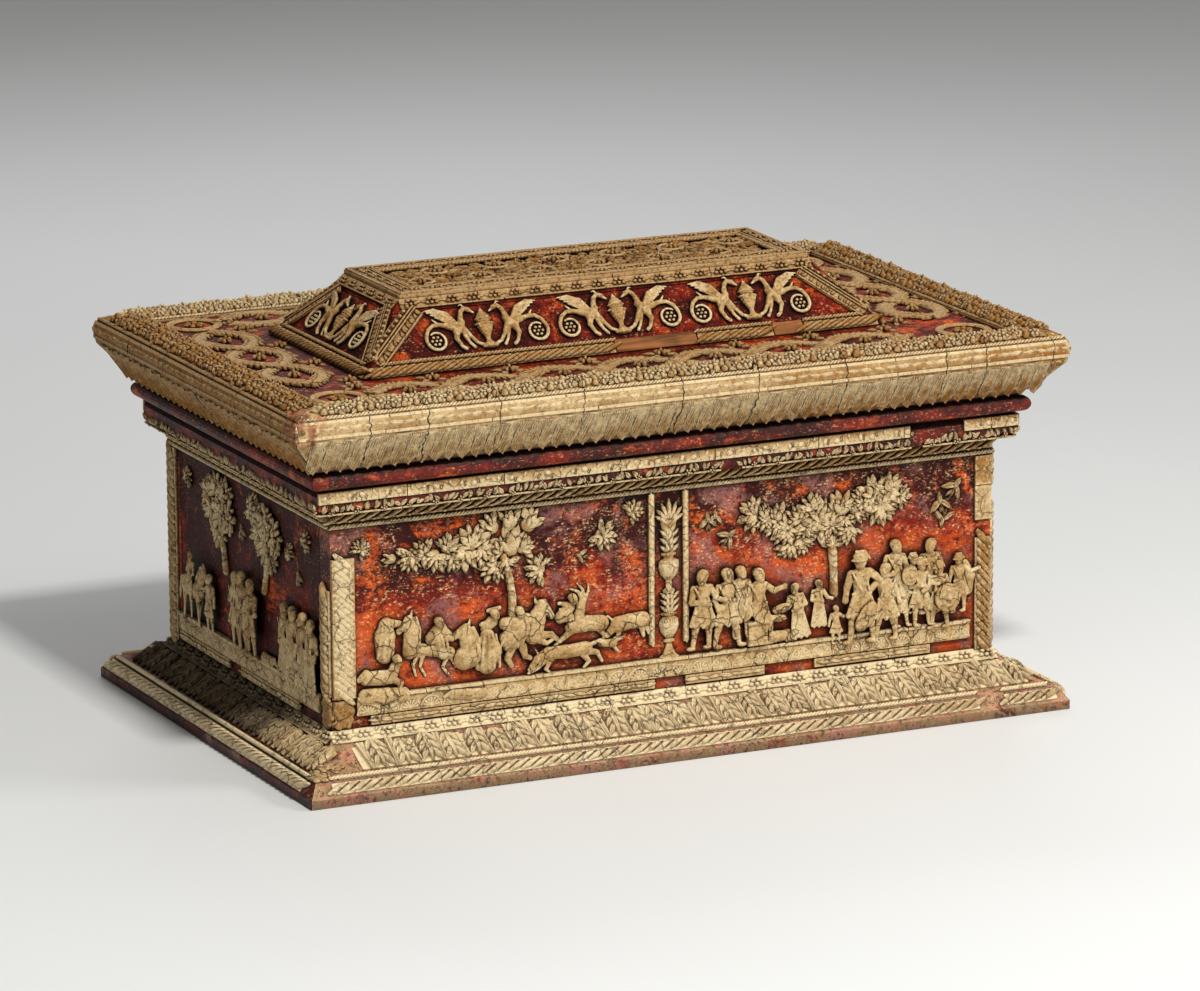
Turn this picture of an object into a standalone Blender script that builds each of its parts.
"""Pastiglia casket: a painted wooden chest with a hinged, stepped lid and applied paste strips.

Metres, +Z up. The origin is on the floor under the middle of the case, -Y is the front.
Outlines of mouldings are offsets from the outer faces of the walls: positive is outwards.
"""
from math import cos, pi, sin

import bmesh
import bpy
from mathutils import Matrix, Vector

# Clearances
FIT = 0.0003                    # gap left between two pieces that touch
MITRE = 0.0002                  # taken off each end of a mitred length
SEAM = 0.0005                   # gap between the case and the closed lid

# Case
BODY_WIDTH = 0.2872
BODY_DEPTH = 0.1652
CASE_HEIGHT = 0.1264            # floor to the top of the walls
WALL_THICKNESS = 0.010
BOTTOM_THICKNESS = 0.009

# Plinth moulding round the foot
PLINTH_SIDE_REACH = 0.0214
PLINTH_FRONT_REACH = 0.0286
PLINTH_EDGE_HEIGHT = 0.0035
PLINTH_BAND_RUN = 0.0045        # sloping band that carries the rope, measured on the sides
PLINTH_BAND_RISE = 0.0060
PLINTH_HEIGHT = 0.0208
PLINTH_SWEEP = 1.6              # above 1 the leaf slope is hollow
PLINTH_STEPS = 5

# Cornice moulding round the top of the walls
TORUS_REACH = 0.0120
TORUS_RADIUS = 0.0033
TORUS_STEPS = 8
NECK_REACH = 0.0056
NECK_HEIGHT = 0.0010
BEAD_REACH = 0.0080
BEAD_HEIGHT = 0.0098
BEAD_ROUND = 0.0022

# Lid rim, heights above the underside of the lid
RIM_REACH = 0.0235
RIM_WIDEST_RISE = 0.0197
RIM_CREST_REACH = 0.0150
RIM_CREST_RISE = 0.0262
RIM_INNER_REACH = 0.0050
RIM_INNER_RISE = 0.0246
RIM_STEPS = 4
EGG_BAND_DROP = 0.0055
EGG_BAND_SETBACK = 0.0012
FRINGE_REACH = 0.0128
FRINGE_RISE = 0.0032
FRINGE_THICKNESS = 0.0035

# Flat panel of the lid and its raised centre
PANEL_RISE = 0.0237             # underside of the lid to the top of the panel
PANEL_THICKNESS = 0.0055
MOUND_BASE_WIDTH = 0.2270
MOUND_BASE_DEPTH = 0.0970
MOUND_TOP_WIDTH = 0.1786
MOUND_TOP_DEPTH = 0.0548
MOUND_RISE = 0.0258
MOUND_SLOPE_THICKNESS = 0.0055  # measured level
MOUND_TOP_THICKNESS = 0.0045

# Cast relief on the top board: a raised border, scrolls that alternate sides, and leaves across from them
TOP_BORDER_WIDTH = 0.0095
TOP_BORDER_RISE = 0.0018
SCROLL_COUNT = 12
SCROLL_PITCH = 0.0130
SCROLL_OFFSET = 0.0076          # from the middle line of the board
SCROLL_RADIUS = 0.0068
SCROLL_BAND = 0.0030
SCROLL_RISE = 0.0014
SCROLL_SIDES = 10
SCROLL_LEAF_HALF = (0.0052, 0.0036)
SCROLL_ROOT = 0.0006            # how deep the relief sits in the board

# Paste strips on the walls
ROPE_HEIGHT = 0.0070
ROPE_THICKNESS = 0.0028
ROPE_CHAMFER = 0.0009
FRIEZE_HEIGHT = 0.0118
FRIEZE_THICKNESS = 0.0020
CORNER_WIDTH = 0.0095
CORNER_THICKNESS = 0.0026
FRONT_LEFT_LOST_FOOT = 0.0130   # lengths broken away at the worn corner
FRONT_LEFT_LOST_HEAD = 0.0115
LEFT_FRONT_LOST_FOOT = 0.0140
LEFT_FRONT_LOST_HEAD = 0.0240

# Candelabrum on the front
CANDELABRUM_THICKNESS = 0.0024
CANDELABRUM_FOOT_HALF = 0.0046
CANDELABRUM_STEM_HALF = 0.0016
CANDELABRUM_BALUSTER_HALF = 0.0036
CANDELABRUM_VASE_HALF = 0.0042
CANDELABRUM_PALMETTE_HALF = 0.0046
CANDELABRUM_HEAD_GAP = 0.0020
FILLET_OFFSET = 0.0074
FILLET_WIDTH = 0.0016
FILLET_THICKNESS = 0.0015
FILLET_FOOT_GAP = 0.0070

# Hinges
HINGE_SPACING = 0.1700
HINGE_LENGTH = 0.0300
HINGE_CLEARANCE = 0.0006        # barrel to the torus
LEAF_THICKNESS = 0.0010
LEAF_INSET = 0.0015             # front edge of a leaf behind the wall face
BARREL_RADIUS = 0.0020
PIN_RADIUS = 0.0009
PIN_CLEARANCE = 0.00015
KNUCKLES = 3
ROUND_SIDES = 16
NAIL_OFFSET = 0.0045            # nail row behind the wall face
NAIL_SPACING = 0.0160
NAIL_LENGTH = 0.0075
NAIL_RADIUS = 0.0006
NAIL_HEAD_RADIUS = 0.0012
NAIL_HEAD_THICKNESS = 0.0004
NAIL_CLEARANCE = 0.00015
NAIL_SIDES = 10

# Levels and places worked out from the sizes above
CORNICE_FOOT = CASE_HEIGHT - 2 * TORUS_RADIUS - NECK_HEIGHT - BEAD_HEIGHT
ROPE_FOOT = CORNICE_FOOT - FIT - ROPE_HEIGHT
LID_FOOT = CASE_HEIGHT + SEAM
PANEL_TOP = LID_FOOT + PANEL_RISE
PANEL_FOOT = PANEL_TOP - PANEL_THICKNESS
MOUND_FOOT = PANEL_TOP + FIT
MOUND_TOP = PANEL_TOP + MOUND_RISE
TOP_BOARD_FOOT = MOUND_TOP - MOUND_TOP_THICKNESS
RAIL_REACH = FRINGE_REACH - FRINGE_THICKNESS
WALL_FOOT = BOTTOM_THICKNESS + FIT
STRIP_FOOT = PLINTH_HEIGHT + FIT
STRIP_HEAD = ROPE_FOOT - FIT
FRIEZE_HEAD = STRIP_FOOT + FRIEZE_HEIGHT
HINGE_AXIS_Y = BODY_DEPTH / 2 + TORUS_REACH + HINGE_CLEARANCE + BARREL_RADIUS
HINGE_AXIS_Z = CASE_HEIGHT + SEAM / 2

SIDES = ("front", "back", "left", "right")
CUT_MARGIN = 0.002              # how far a cutter stands out of what it cuts


def finish(name, colour, roughness, metallic=0.0):
    """A plain surface finish."""
    material = bpy.data.materials.new(name)
    material.use_nodes = True
    shader = material.node_tree.nodes["Principled BSDF"]
    shader.inputs["Base Color"].default_value = (*colour, 1.0)
    shader.inputs["Roughness"].default_value = roughness
    shader.inputs["Metallic"].default_value = metallic
    return material


def add_piece(name, bm, material, pivot=None):
    """Turn a bmesh into a named object, hung on a pivot if it moves."""
    bmesh.ops.recalc_face_normals(bm, faces=bm.faces)
    mesh = bpy.data.meshes.new(name)
    bm.to_mesh(mesh)
    bm.free()
    mesh.materials.append(material)
    return place_mesh(name, mesh, pivot)


def place_mesh(name, mesh, pivot=None):
    """Add an object for a mesh and keep its place when it gets a parent."""
    piece = bpy.data.objects.new(name, mesh)
    bpy.context.scene.collection.objects.link(piece)
    if pivot:
        piece.parent = pivot
        piece.matrix_parent_inverse = Matrix.Translation(-pivot.location)
    return piece


def make_cutter(piece):
    """Keep an object out of the model: it only shapes other pieces."""
    piece.hide_render = True
    piece.display_type = "WIRE"
    return piece


def shape_with(piece, tool, operation):
    """Cut a piece with a tool, or join the tool to it."""
    modifier = piece.modifiers.new(tool.name, "BOOLEAN")
    modifier.operation = operation
    modifier.solver = "EXACT"
    modifier.object = tool


def block(low, high):
    """A bmesh box between two corners."""
    low, high = Vector(low), Vector(high)
    bm = bmesh.new()
    bmesh.ops.create_cube(bm, size=1.0)
    bmesh.ops.scale(bm, vec=high - low, verts=bm.verts)
    bmesh.ops.translate(bm, vec=(high + low) / 2, verts=bm.verts)
    return bm


def rod(radius, length, centre, sides):
    """A bmesh cylinder lying along X."""
    bm = bmesh.new()
    bmesh.ops.create_cone(bm, cap_ends=True, segments=sides, radius1=radius, radius2=radius, depth=length,
                          matrix=Matrix.Translation(centre) @ Matrix.Rotation(pi / 2, 4, "Y"))
    return bm


def turned(outline, sides):
    """Spin an outline of (radius, height) points about Z into a closed bmesh."""
    bm = bmesh.new()
    points = [bm.verts.new((radius, 0, height)) for radius, height in outline]
    edges = [bm.edges.new(pair) for pair in zip(points, points[1:])]
    bmesh.ops.spin(bm, geom=points + edges, axis=(0, 0, 1), cent=(0, 0, 0), angle=2 * pi, steps=sides,
                   use_merge=True)
    bmesh.ops.remove_doubles(bm, verts=bm.verts, dist=NAIL_CLEARANCE / 10)
    return bm


def frame_corner(side, offset_x, offset_y, height):
    """Where an outline point of one side meets the mitre at its low end."""
    x = BODY_WIDTH / 2 + offset_x
    y = BODY_DEPTH / 2 + offset_y
    return {
        "front": Vector((-x + MITRE, -y, height)),
        "back": Vector((-x + MITRE, y, height)),
        "left": Vector((-x, -y + MITRE, height)),
        "right": Vector((x, -y + MITRE, height)),
    }[side]


def mitred_length(side, outline):
    """One length of a moulding that runs round all four sides, from an outline of (x, y, z) offsets."""
    along = 0 if side in ("front", "back") else 1
    bm = bmesh.new()
    end = bm.faces.new([bm.verts.new(frame_corner(side, *point)) for point in outline])
    grown = bmesh.ops.extrude_face_region(bm, geom=[end])["geom"]
    for vert in grown:
        if isinstance(vert, bmesh.types.BMVert):
            vert.co[along] = -vert.co[along]
    return bm


def add_mitred_frame(name, outline, material, pivot=None):
    """The four lengths of a moulding, keyed by side."""
    return {side: add_piece(f"{name}_{side}", mitred_length(side, outline), material, pivot) for side in SIDES}


def even(outline):
    """An outline that stands out as far on the sides as on the front."""
    return [(offset, offset, height) for offset, height in outline]


def plinth_outline():
    """Upright edge, sloping rope band, then a hollow leaf slope up to the wall."""
    band_head = PLINTH_EDGE_HEIGHT + PLINTH_BAND_RISE
    slope_run = PLINTH_SIDE_REACH - PLINTH_BAND_RUN
    points = [(FIT, 0.0), (PLINTH_SIDE_REACH, 0.0), (PLINTH_SIDE_REACH, PLINTH_EDGE_HEIGHT)]
    for step in range(PLINTH_STEPS + 1):
        share = step / PLINTH_STEPS
        height = band_head + (PLINTH_HEIGHT - band_head) * share ** PLINTH_SWEEP
        points.append((FIT + (slope_run - FIT) * (1 - share), height))
    stretch = (PLINTH_FRONT_REACH - FIT) / (PLINTH_SIDE_REACH - FIT)
    return [(offset, FIT + (offset - FIT) * stretch, height) for offset, height in points]


def cornice_outline():
    """Rounded bead moulding, a narrow neck and the torus."""
    bead_head = CORNICE_FOOT + BEAD_HEIGHT
    points = [
        (FIT, CORNICE_FOOT),
        (BEAD_REACH - BEAD_ROUND, CORNICE_FOOT),
        (BEAD_REACH, CORNICE_FOOT + BEAD_ROUND),
        (BEAD_REACH, bead_head - BEAD_ROUND),
        (BEAD_REACH - BEAD_ROUND, bead_head),
        (NECK_REACH, bead_head),
        (NECK_REACH, bead_head + NECK_HEIGHT),
    ]
    centre = TORUS_REACH - TORUS_RADIUS
    for step in range(TORUS_STEPS + 1):
        angle = pi * (step / TORUS_STEPS - 0.5)
        points.append((centre + TORUS_RADIUS * cos(angle), CASE_HEIGHT - TORUS_RADIUS * (1 - sin(angle))))
    points.append((FIT, CASE_HEIGHT))
    return even(points)


def rim_outline():
    """Rail on the case, hanging fringe, egg band, rounded crest and the rebate for the panel."""
    seat = PANEL_FOOT - FIT
    widest = LID_FOOT + RIM_WIDEST_RISE
    points = [
        (-WALL_THICKNESS, LID_FOOT),
        (RAIL_REACH, LID_FOOT),
        (RAIL_REACH, LID_FOOT + FRINGE_RISE),
        (FRINGE_REACH, LID_FOOT + FRINGE_RISE),
        (RIM_REACH - EGG_BAND_SETBACK, widest - EGG_BAND_DROP),
    ]
    for step in range(RIM_STEPS + 1):
        angle = pi / 2 * step / RIM_STEPS
        points.append((RIM_CREST_REACH + (RIM_REACH - RIM_CREST_REACH) * cos(angle),
                       widest + (RIM_CREST_RISE - RIM_WIDEST_RISE) * sin(angle)))
    points += [(RIM_INNER_REACH, LID_FOOT + RIM_INNER_RISE), (RIM_INNER_REACH, seat), (-WALL_THICKNESS, seat)]
    return even(points)


def mound_offsets(height, inset=0.0):
    """Offsets of the sloping faces of the mound at a height, moved in by an inset."""
    share = (height - PANEL_TOP) / MOUND_RISE
    width = MOUND_BASE_WIDTH + (MOUND_TOP_WIDTH - MOUND_BASE_WIDTH) * share
    depth = MOUND_BASE_DEPTH + (MOUND_TOP_DEPTH - MOUND_BASE_DEPTH) * share
    return ((width - BODY_WIDTH) / 2 - inset, (depth - BODY_DEPTH) / 2 - inset, height)


def panel_outline():
    """Flat boards between the rim and the foot of the mound."""
    outer = RIM_INNER_REACH - FIT
    inner = mound_offsets(PANEL_TOP, MOUND_SLOPE_THICKNESS)[:2]
    return [(outer, outer, PANEL_FOOT), (outer, outer, PANEL_TOP), (*inner, PANEL_TOP), (*inner, PANEL_FOOT)]


def slope_outline():
    """Sloping boards of the mound."""
    head = TOP_BOARD_FOOT - FIT
    return [mound_offsets(MOUND_FOOT), mound_offsets(head),
            mound_offsets(head, MOUND_SLOPE_THICKNESS), mound_offsets(MOUND_FOOT, MOUND_SLOPE_THICKNESS)]


def rope_outline():
    """Rope strip under the cornice."""
    head = ROPE_FOOT + ROPE_HEIGHT
    return even([
        (FIT, ROPE_FOOT),
        (ROPE_THICKNESS - ROPE_CHAMFER, ROPE_FOOT),
        (ROPE_THICKNESS, ROPE_FOOT + ROPE_CHAMFER),
        (ROPE_THICKNESS, head - ROPE_CHAMFER),
        (ROPE_THICKNESS - ROPE_CHAMFER, head),
        (FIT, head),
    ])


def on_wall(side, start, stop, foot, head, thickness):
    """A strip laid on a wall, from start to stop along it, seen as (x or y, z)."""
    sign = 1 if side in ("back", "right") else -1
    if side in ("front", "back"):
        faces = sorted(sign * (BODY_DEPTH / 2 + offset) for offset in (FIT, thickness))
        return block((start, faces[0], foot), (stop, faces[1], head))
    faces = sorted(sign * (BODY_WIDTH / 2 + offset) for offset in (FIT, thickness))
    return block((faces[0], start, foot), (faces[1], stop, head))


def add_case(wood, paint):
    """Bottom board, walls, plinth and cornice; returns the cornice lengths."""
    half_x, half_y = BODY_WIDTH / 2, BODY_DEPTH / 2
    add_piece("bottom_board", block((-half_x, -half_y, 0), (half_x, half_y, BOTTOM_THICKNESS)), wood)
    inner_y = half_y - WALL_THICKNESS
    inner_x = half_x - WALL_THICKNESS
    walls = {
        "front": ((-half_x, -half_y), (half_x, -inner_y)),
        "back": ((-half_x, inner_y), (half_x, half_y)),
        "left": ((-half_x, FIT - inner_y), (-inner_x, inner_y - FIT)),
        "right": ((inner_x, FIT - inner_y), (half_x, inner_y - FIT)),
    }
    for side, (low, high) in walls.items():
        add_piece(f"wall_{side}", block((*low, WALL_FOOT), (*high, CASE_HEIGHT)), paint)
    add_mitred_frame("plinth", plinth_outline(), paint)
    return add_mitred_frame("cornice", cornice_outline(), paint)


def add_lid(paint, pivot):
    """Rim, flat panel and mound; returns the rim lengths."""
    rim = add_mitred_frame("lid_rim", rim_outline(), paint, pivot)
    add_mitred_frame("lid_panel", panel_outline(), paint, pivot)
    add_mitred_frame("lid_slope", slope_outline(), paint, pivot)
    add_top_board(paint, pivot)
    return rim


def add_top_board(paint, pivot):
    """Top board of the mound, with the raised border and the scrolls of its cast relief."""
    foot_x, foot_y, _ = mound_offsets(TOP_BOARD_FOOT)
    bm = block((-BODY_WIDTH / 2 - foot_x, -BODY_DEPTH / 2 - foot_y, TOP_BOARD_FOOT),
               (BODY_WIDTH / 2 + foot_x, BODY_DEPTH / 2 + foot_y, MOUND_TOP))
    for vert in bm.verts:
        if vert.co.z > (TOP_BOARD_FOOT + MOUND_TOP) / 2:
            vert.co.x = MOUND_TOP_WIDTH / 2 if vert.co.x > 0 else -MOUND_TOP_WIDTH / 2
            vert.co.y = MOUND_TOP_DEPTH / 2 if vert.co.y > 0 else -MOUND_TOP_DEPTH / 2
    top = max(bm.faces, key=lambda face: face.calc_center_median().z)
    border = bmesh.ops.inset_region(bm, faces=[top], thickness=TOP_BORDER_WIDTH, use_even_offset=True)["faces"]
    grown = bmesh.ops.extrude_face_region(bm, geom=border)["geom"]
    raised = [vert for vert in grown if isinstance(vert, bmesh.types.BMVert)]
    bmesh.ops.translate(bm, vec=(0, 0, TOP_BORDER_RISE), verts=raised)
    bmesh.ops.delete(bm, geom=border, context="FACES_ONLY")
    board = add_piece("lid_top_board", bm, paint, pivot)
    shape_with(board, make_cutter(add_piece("top_relief", top_relief(), paint)), "UNION")


def top_relief():
    """Scrolls, each a ring round a flower, and the leaves across from them, in one bmesh."""
    inner = SCROLL_RADIUS - SCROLL_BAND
    ring = turned([(0, -SCROLL_ROOT), (SCROLL_RADIUS, -SCROLL_ROOT), (SCROLL_RADIUS, SCROLL_RISE / 2),
                   (SCROLL_RADIUS - SCROLL_BAND / 2, SCROLL_RISE), (inner, SCROLL_RISE / 4), (0, SCROLL_RISE)],
                  SCROLL_SIDES)
    mesh = bpy.data.meshes.new("scroll")
    ring.to_mesh(mesh)
    ring.free()
    bm = bmesh.new()
    for number in range(SCROLL_COUNT):
        x = (number - (SCROLL_COUNT - 1) / 2) * SCROLL_PITCH
        y = SCROLL_OFFSET if number % 2 else -SCROLL_OFFSET
        known = set(bm.verts)
        bm.from_mesh(mesh)
        bmesh.ops.translate(bm, vec=(x, y, MOUND_TOP), verts=[vert for vert in bm.verts if vert not in known])
        leaf = Matrix.Translation((x, -y, MOUND_TOP)) @ Matrix.Diagonal((*SCROLL_LEAF_HALF, 1.0, 1.0))
        bmesh.ops.create_cone(bm, cap_ends=True, segments=4, radius1=1.0, radius2=0.2,
                              depth=SCROLL_RISE + SCROLL_ROOT,
                              matrix=leaf @ Matrix.Translation((0, 0, (SCROLL_RISE - SCROLL_ROOT) / 2)))
    return bm


def add_strips(paste):
    """Rope, frieze and corner strips on the four walls."""
    add_mitred_frame("wall_rope", rope_outline(), paste)
    lost = {
        ("front", "left"): (FRONT_LEFT_LOST_FOOT, FRONT_LEFT_LOST_HEAD),
        ("left", "front"): (LEFT_FRONT_LOST_FOOT, LEFT_FRONT_LOST_HEAD),
    }
    for side in SIDES:
        half, ends = (BODY_WIDTH / 2, ("left", "right")) if side in ("front", "back") else \
                     (BODY_DEPTH / 2, ("front", "back"))
        reach = half - CORNER_WIDTH - FIT
        add_piece(f"wall_frieze_{side}",
                  on_wall(side, -reach, reach, STRIP_FOOT, FRIEZE_HEAD, FRIEZE_THICKNESS), paste)
        for end, start in zip(ends, (-half, half - CORNER_WIDTH)):
            lost_foot, lost_head = lost.get((side, end), (0.0, 0.0))
            add_piece(f"corner_strip_{side}_{end}",
                      on_wall(side, start, start + CORNER_WIDTH, STRIP_FOOT + lost_foot,
                              STRIP_HEAD - lost_head, CORNER_THICKNESS), paste)


def candelabrum_outline():
    """Half widths up the candelabrum as (share of its height, half width)."""
    return [
        (0.00, CANDELABRUM_FOOT_HALF),
        (0.06, CANDELABRUM_FOOT_HALF),
        (0.12, CANDELABRUM_STEM_HALF),
        (0.26, CANDELABRUM_BALUSTER_HALF),
        (0.40, CANDELABRUM_STEM_HALF),
        (0.46, CANDELABRUM_STEM_HALF),
        (0.60, CANDELABRUM_VASE_HALF),
        (0.70, CANDELABRUM_STEM_HALF),
        (0.76, CANDELABRUM_STEM_HALF),
        (0.90, CANDELABRUM_PALMETTE_HALF),
        (1.00, CANDELABRUM_STEM_HALF),
    ]


def add_candelabrum(paste):
    """Flat candelabrum between two fillets in the middle of the front."""
    foot = FRIEZE_HEAD + FIT
    height = STRIP_HEAD - CANDELABRUM_HEAD_GAP - foot
    face = -BODY_DEPTH / 2 - FIT
    outline = [(half, foot + share * height) for share, half in candelabrum_outline()]
    bm = bmesh.new()
    border = [bm.verts.new((half, face, level)) for half, level in outline]
    border += [bm.verts.new((-half, face, level)) for half, level in reversed(outline)]
    grown = bmesh.ops.extrude_face_region(bm, geom=[bm.faces.new(border)])["geom"]
    bmesh.ops.translate(bm, vec=(0, FIT - CANDELABRUM_THICKNESS, 0),
                        verts=[vert for vert in grown if isinstance(vert, bmesh.types.BMVert)])
    add_piece("candelabrum", bm, paste)
    for end, sign in (("left", -1), ("right", 1)):
        middle = sign * FILLET_OFFSET
        add_piece(f"candelabrum_fillet_{end}",
                  on_wall("front", middle - FILLET_WIDTH / 2, middle + FILLET_WIDTH / 2,
                          foot + FILLET_FOOT_GAP, STRIP_HEAD, FILLET_THICKNESS), paste)


def nail_outline(grow=0.0, stand=0.0):
    """Nail with its head at the top, pointing down; grown to make its hole."""
    neck = -NAIL_HEAD_THICKNESS - grow
    tip = -NAIL_LENGTH - grow
    return [(0.0, stand), (NAIL_HEAD_RADIUS + grow, stand), (NAIL_HEAD_RADIUS + grow, neck),
            (NAIL_RADIUS + grow, neck), (NAIL_RADIUS + grow, tip + NAIL_RADIUS), (0.0, tip)]


def add_leaf(name, middle, on_lid, iron, pivot):
    """One hinge leaf: a plate that reaches its own knuckles on the barrel."""
    foot = LID_FOOT if on_lid else CASE_HEIGHT - LEAF_THICKNESS
    head = foot + LEAF_THICKNESS
    front = BODY_DEPTH / 2 + LEAF_INSET
    plate_back = HINGE_AXIS_Y - BARREL_RADIUS - FIT
    web_back = HINGE_AXIS_Y - (BARREL_RADIUS + PIN_RADIUS + PIN_CLEARANCE) / 2
    half = HINGE_LENGTH / 2
    leaf = add_piece(name, block((middle - half, front, foot), (middle + half, plate_back, head)), iron, pivot)
    pitch = HINGE_LENGTH / KNUCKLES
    for index in range(KNUCKLES):
        if (index % 2 == 1) != on_lid:
            continue
        centre = middle - half + pitch * (index + 0.5)
        length = pitch - FIT
        web_low = (centre - length / 2, plate_back - BARREL_RADIUS, foot)
        web_high = (centre + length / 2, web_back, head)
        axis = (centre, HINGE_AXIS_Y, HINGE_AXIS_Z)
        for part, bm in (("web", block(web_low, web_high)),
                         ("knuckle", rod(BARREL_RADIUS, length, axis, ROUND_SIDES))):
            shape_with(leaf, make_cutter(add_piece(f"{name}_{part}_{index}", bm, iron)), "UNION")
    return leaf


def add_hinge(number, middle, cornice, rim, iron, pivot):
    """Two leaves in their pockets, a pin and the nails."""
    half = HINGE_LENGTH / 2
    axis = (middle, HINGE_AXIS_Y, HINGE_AXIS_Z)
    add_piece(f"hinge_{number}_pin", rod(PIN_RADIUS, HINGE_LENGTH, axis, ROUND_SIDES), iron)
    bore = make_cutter(add_piece(f"hinge_{number}_bore",
                                 rod(PIN_RADIUS + PIN_CLEARANCE, HINGE_LENGTH + 2 * CUT_MARGIN, axis,
                                     ROUND_SIDES), iron))
    front = BODY_DEPTH / 2 + LEAF_INSET - FIT
    back = HINGE_AXIS_Y + BARREL_RADIUS
    for on_lid, wood in ((False, cornice), (True, rim)):
        owner = "lid" if on_lid else "case"
        hung = pivot if on_lid else None
        leaf = add_leaf(f"hinge_{number}_{owner}_leaf", middle, on_lid, iron, hung)
        shape_with(leaf, bore, "DIFFERENCE")
        low = LID_FOOT - CUT_MARGIN if on_lid else CASE_HEIGHT - LEAF_THICKNESS - FIT
        high = LID_FOOT + LEAF_THICKNESS + FIT if on_lid else CASE_HEIGHT + CUT_MARGIN
        pocket = block((middle - half - FIT, front, low), (middle + half + FIT, back, high))
        shape_with(wood, make_cutter(add_piece(f"hinge_{number}_{owner}_pocket", pocket, iron)), "DIFFERENCE")
        for nail, sign in (("a", -1), ("b", 1)):
            label = f"hinge_{number}_{owner}_nail_{nail}"
            face = LID_FOOT if on_lid else CASE_HEIGHT
            inwards = 1 if on_lid else -1
            place = Vector((middle + sign * NAIL_SPACING / 2, BODY_DEPTH / 2 + NAIL_OFFSET,
                            face + inwards * NAIL_CLEARANCE))
            turn = pi if on_lid else 0.0
            hole = make_cutter(add_piece(f"{label}_hole",
                                         turned(nail_outline(NAIL_CLEARANCE, CUT_MARGIN), NAIL_SIDES), iron))
            shank = add_piece(label, turned(nail_outline(), NAIL_SIDES), iron, hung)
            for piece in (hole, shank):
                piece.location = place
                piece.rotation_euler = (turn, 0, 0)
            shape_with(leaf, hole, "DIFFERENCE")
            shape_with(wood, hole, "DIFFERENCE")


def build():
    """The whole casket, closed."""
    for piece in list(bpy.data.objects):
        bpy.data.objects.remove(piece)
    pivot = bpy.data.objects.new("lid_pivot", None)
    pivot.location = (0, HINGE_AXIS_Y, HINGE_AXIS_Z)
    bpy.context.scene.collection.objects.link(pivot)
    wood = finish("bare_wood", (0.23, 0.12, 0.06), 0.75)
    paint = finish("red_ground", (0.30, 0.05, 0.025), 0.55)
    paste = finish("buff_paste", (0.55, 0.45, 0.25), 0.70)
    iron = finish("forged_iron", (0.07, 0.06, 0.055), 0.60, 0.9)
    cornice = add_case(wood, paint)
    rim = add_lid(paint, pivot)
    add_strips(paste)
    add_candelabrum(paste)
    for number, sign in ((1, -1), (2, 1)):
        add_hinge(number, sign * HINGE_SPACING / 2, cornice["back"], rim["back"], iron, pivot)


build()
